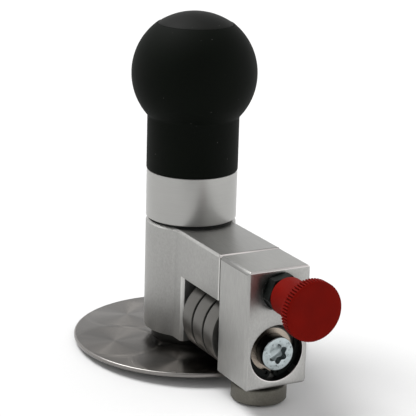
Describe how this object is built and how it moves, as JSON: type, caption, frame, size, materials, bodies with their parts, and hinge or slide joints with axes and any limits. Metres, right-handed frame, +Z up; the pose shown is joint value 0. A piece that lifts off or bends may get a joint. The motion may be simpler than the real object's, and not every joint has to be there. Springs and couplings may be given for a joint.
{
  "type": "hand-held flanging roller for round sheet-metal edges",
  "caption": "Hand-held flanging tool: ball-handled steel body with a swivelling guide disc, bearing rollers on an axle, and a swing-away end block with a foot roller and a red index plunger.",
  "frame": {"origin": "centre of the guide disc's underside, on the handle's axis", "axes": "+Z up the handle, +X along the arm towards the end block and plunger, +Y to the left when looking along +X"},
  "size_m": [0.1448, 0.0936, 0.1388],
  "materials": {
    "machined_steel": "satin milled stainless steel",
    "block_steel": "fine brushed stainless steel with bright chamfers",
    "turned_steel": "fine turned stainless steel",
    "brushed_disc": "stainless sheet with an overlapping swirl grain",
    "soft_touch_black": "matt soft-touch black",
    "black_cap": "matt black moulded cap",
    "red_plastic": "satin red moulded plastic",
    "black_oxide": "black oxide steel",
    "black_polymer": "black polymer and nitrile rubber",
    "zinc_plate": "bright zinc-plated steel",
    "foot_steel": "ground steel, darker than the block",
    "bronze": "sintered bronze",
    "brass": "machined brass",
    "roller_steel": "ground hardened bearing steel",
    "cage_steel": "pressed steel",
    "shield_steel": "pressed steel shield with a warm tint",
    "ball_steel": "polished balls",
    "bearing_steel": "ground steel"
  },
  "bodies": {
    "frame": {"housing": "machined_steel", "lower_bearing_outer_ring": "bearing_steel", "upper_bearing_outer_ring": "bearing_steel", "bearing_spacer": "bearing_steel", "housing_circlip": "black_oxide", "handle_stud": "bearing_steel", "handle_washer": "zinc_plate", "handle_nut": "zinc_plate", "thrust_washer": "black_polymer", "roller_sleeve": "bearing_steel", "axle_screw": "zinc_plate", "axle_washer": "black_oxide", "axle_spacer": "bearing_steel", "axle_shims": "bearing_steel", "roller_1_inner_ring": "bearing_steel", "roller_2_inner_ring": "bearing_steel", "roller_3_inner_ring": "bearing_steel", "pivot_bearing_inner_ring": "bearing_steel"},
    "guide": {"guide_disc": "brushed_disc", "disc_spindle": "turned_steel", "disc_screws": "black_oxide", "spindle_spacer": "bearing_steel", "spindle_nut": "black_oxide", "lower_bearing_inner_ring": "bearing_steel", "upper_bearing_inner_ring": "bearing_steel", "lower_bearing_balls": "ball_steel", "upper_bearing_balls": "ball_steel"},
    "handle": {"handle_collar": "turned_steel", "handle_bushes": "bronze", "knob_insert": "brass", "ball_knob": "soft_touch_black", "knob_cap": "black_cap"},
    "roller_1": {"roller_1_outer_ring": "roller_steel", "roller_1_balls": "ball_steel", "roller_1_cage": "cage_steel", "roller_1_seals": "black_polymer"},
    "roller_2": {"roller_2_outer_ring": "roller_steel", "roller_2_balls": "ball_steel", "roller_2_cage": "cage_steel", "roller_2_seals": "black_polymer"},
    "roller_3": {"roller_3_outer_ring": "roller_steel", "roller_3_balls": "ball_steel", "roller_3_cage": "cage_steel", "roller_3_seals": "black_polymer"},
    "block": {"end_block": "block_steel", "pivot_bearing_outer_ring": "bearing_steel", "pivot_bearing_balls": "ball_steel", "pivot_bearing_shields": "shield_steel", "block_circlip": "black_oxide", "plunger_sleeve": "black_oxide", "plunger_washer": "black_oxide", "plunger_spring": "bearing_steel", "foot_screw": "black_oxide", "foot_washer": "bearing_steel"},
    "plunger": {"plunger_pin": "bearing_steel", "pull_knob": "red_plastic"},
    "foot": {"foot_roller": "foot_steel", "foot_bush": "bronze"}
  },
  "joints": [
    {"name": "guide_spin", "type": "hinge", "parent": "frame", "child": "guide", "pos_m": [0, 0, 0], "axis": [0, 0, 1], "continuous": true},
    {"name": "handle_spin", "type": "hinge", "parent": "frame", "child": "handle", "pos_m": [0, 0, 0.07], "axis": [0, 0, 1], "continuous": true},
    {"name": "roller_1_spin", "type": "hinge", "parent": "frame", "child": "roller_1", "pos_m": [0.02785, 0, 0.018], "axis": [1, 0, 0], "continuous": true},
    {"name": "roller_2_spin", "type": "hinge", "parent": "frame", "child": "roller_2", "pos_m": [0.0367, 0, 0.018], "axis": [1, 0, 0], "continuous": true},
    {"name": "roller_3_spin", "type": "hinge", "parent": "frame", "child": "roller_3", "pos_m": [0.04555, 0, 0.018], "axis": [1, 0, 0], "continuous": true},
    {"name": "block_swing", "type": "hinge", "parent": "frame", "child": "block", "pos_m": [0.0652, 0, 0.018], "axis": [-1, 0, 0], "range_deg": [0, 90]},
    {"name": "plunger_pull", "type": "slide", "parent": "block", "child": "plunger", "axis": [1, 0, 0], "range_m": [0, 0.005], "stiffness_N_per_m": 800, "springref_m": -0.006, "deforming": ["plunger_spring"]},
    {"name": "foot_spin", "type": "hinge", "parent": "block", "child": "foot", "pos_m": [0.06, 0, 0], "axis": [0, 0, 1], "continuous": true}
  ]
}
